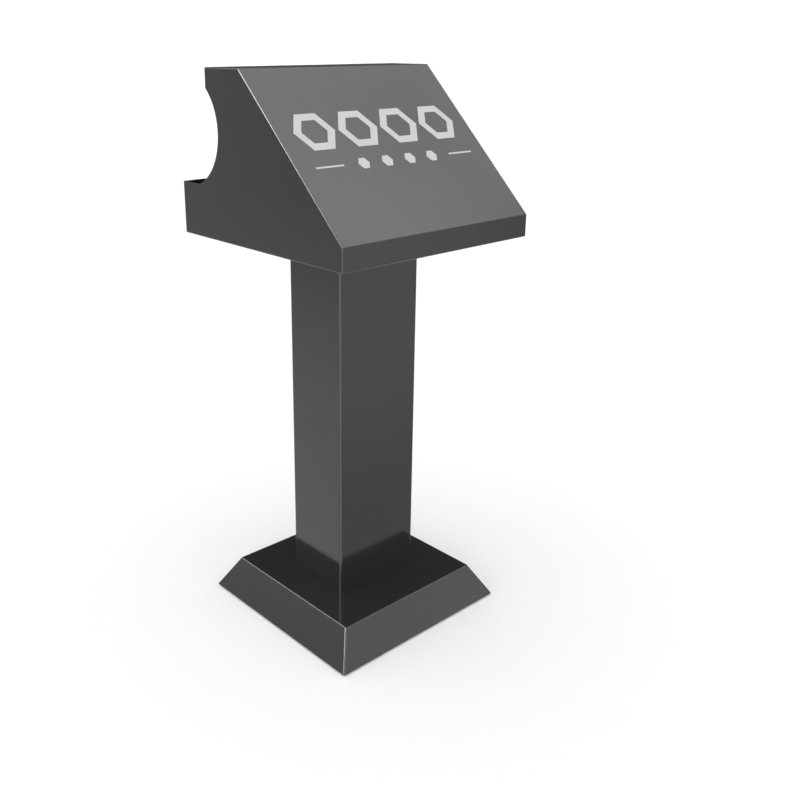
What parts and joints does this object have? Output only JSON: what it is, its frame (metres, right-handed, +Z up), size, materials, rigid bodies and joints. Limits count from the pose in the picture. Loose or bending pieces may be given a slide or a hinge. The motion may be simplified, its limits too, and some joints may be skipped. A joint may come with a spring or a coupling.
{
  "type": "gym chalk stand",
  "caption": "Sheet-metal gym chalk stand: hooded bin with an open back, side notches and a lift-out tray, on a rectangular post and a weighted pyramid base.",
  "frame": {"origin": "on the floor, under the middle of the post", "axes": "+Z up; +X towards the right-hand side panel; the sloping face looks towards -Y and the open back towards +Y"},
  "size_m": [0.464, 0.466, 1.1],
  "materials": {
    "powder_coat": "dark grey powder coat, semi-gloss, with fine orange peel",
    "primer": "dark primer, satin",
    "zinc_plate": "bright zinc plating",
    "tray_plastic": "black moulded plastic, fine matt texture",
    "foot_rubber": "black rubber, matt",
    "badge_print": "light grey screen print, satin"
  },
  "bodies": {
    "stand": {"hood_panel": "powder_coat", "side_panel_left": "powder_coat", "side_panel_right": "powder_coat", "bin_rear_wall": "powder_coat", "bin_floor": "powder_coat", "hood_rib": "powder_coat", "clamp_plate": "zinc_plate", "head_packer": "primer", "tray_rail_left": "powder_coat", "tray_rail_right": "powder_coat", "tray_stop": "powder_coat", "head_bolts": "zinc_plate", "head_washers": "zinc_plate", "front_badge": "badge_print", "post": "powder_coat", "post_head_plate": "primer", "head_weld_nuts": "zinc_plate", "post_foot_plate": "primer", "base_weld_nuts": "zinc_plate", "base_cover": "powder_coat", "base_stiffener": "primer", "base_spacers": "zinc_plate", "ballast_plate": "primer", "base_bolts": "zinc_plate", "base_washers": "zinc_plate", "foot_weld_nuts": "zinc_plate"},
    "tray": {"chalk_tray": "tray_plastic"},
    "pad_front_left": {"foot_pad_front_left": "foot_rubber"},
    "stud_front_left": {"foot_stud_front_left": "zinc_plate"},
    "pad_front_right": {"foot_pad_front_right": "foot_rubber"},
    "stud_front_right": {"foot_stud_front_right": "zinc_plate"},
    "pad_rear_left": {"foot_pad_rear_left": "foot_rubber"},
    "stud_rear_left": {"foot_stud_rear_left": "zinc_plate"},
    "pad_rear_right": {"foot_pad_rear_right": "foot_rubber"},
    "stud_rear_right": {"foot_stud_rear_right": "zinc_plate"}
  },
  "joints": [
    {"name": "tray_lift", "type": "slide", "parent": "stand", "child": "tray", "axis": [0, 0, 1], "range_m": [0, 0.085]},
    {"name": "foot_front_left_drop", "type": "slide", "parent": "stand", "child": "pad_front_left", "axis": [0, 0, -1], "range_m": [0, 0.008]},
    {"name": "foot_front_left_screw", "type": "hinge", "parent": "pad_front_left", "child": "stud_front_left", "pos_m": [-0.165, -0.165, 0.02], "axis": [0, 0, -1], "range_deg": [0, 1920]},
    {"name": "foot_front_right_drop", "type": "slide", "parent": "stand", "child": "pad_front_right", "axis": [0, 0, -1], "range_m": [0, 0.008]},
    {"name": "foot_front_right_screw", "type": "hinge", "parent": "pad_front_right", "child": "stud_front_right", "pos_m": [0.165, -0.165, 0.02], "axis": [0, 0, -1], "range_deg": [0, 1920]},
    {"name": "foot_rear_left_drop", "type": "slide", "parent": "stand", "child": "pad_rear_left", "axis": [0, 0, -1], "range_m": [0, 0.008]},
    {"name": "foot_rear_left_screw", "type": "hinge", "parent": "pad_rear_left", "child": "stud_rear_left", "pos_m": [-0.165, 0.165, 0.02], "axis": [0, 0, -1], "range_deg": [0, 1920]},
    {"name": "foot_rear_right_drop", "type": "slide", "parent": "stand", "child": "pad_rear_right", "axis": [0, 0, -1], "range_m": [0, 0.008]},
    {"name": "foot_rear_right_screw", "type": "hinge", "parent": "pad_rear_right", "child": "stud_rear_right", "pos_m": [0.165, 0.165, 0.02], "axis": [0, 0, -1], "range_deg": [0, 1920]}
  ],
  "couplings": [
    {"joint": "foot_front_left_screw", "follows": "foot_front_left_drop", "rad_per_m": 4188.8},
    {"joint": "foot_front_right_screw", "follows": "foot_front_right_drop", "rad_per_m": 4188.8},
    {"joint": "foot_rear_left_screw", "follows": "foot_rear_left_drop", "rad_per_m": 4188.8},
    {"joint": "foot_rear_right_screw", "follows": "foot_rear_right_drop", "rad_per_m": 4188.8}
  ]
}
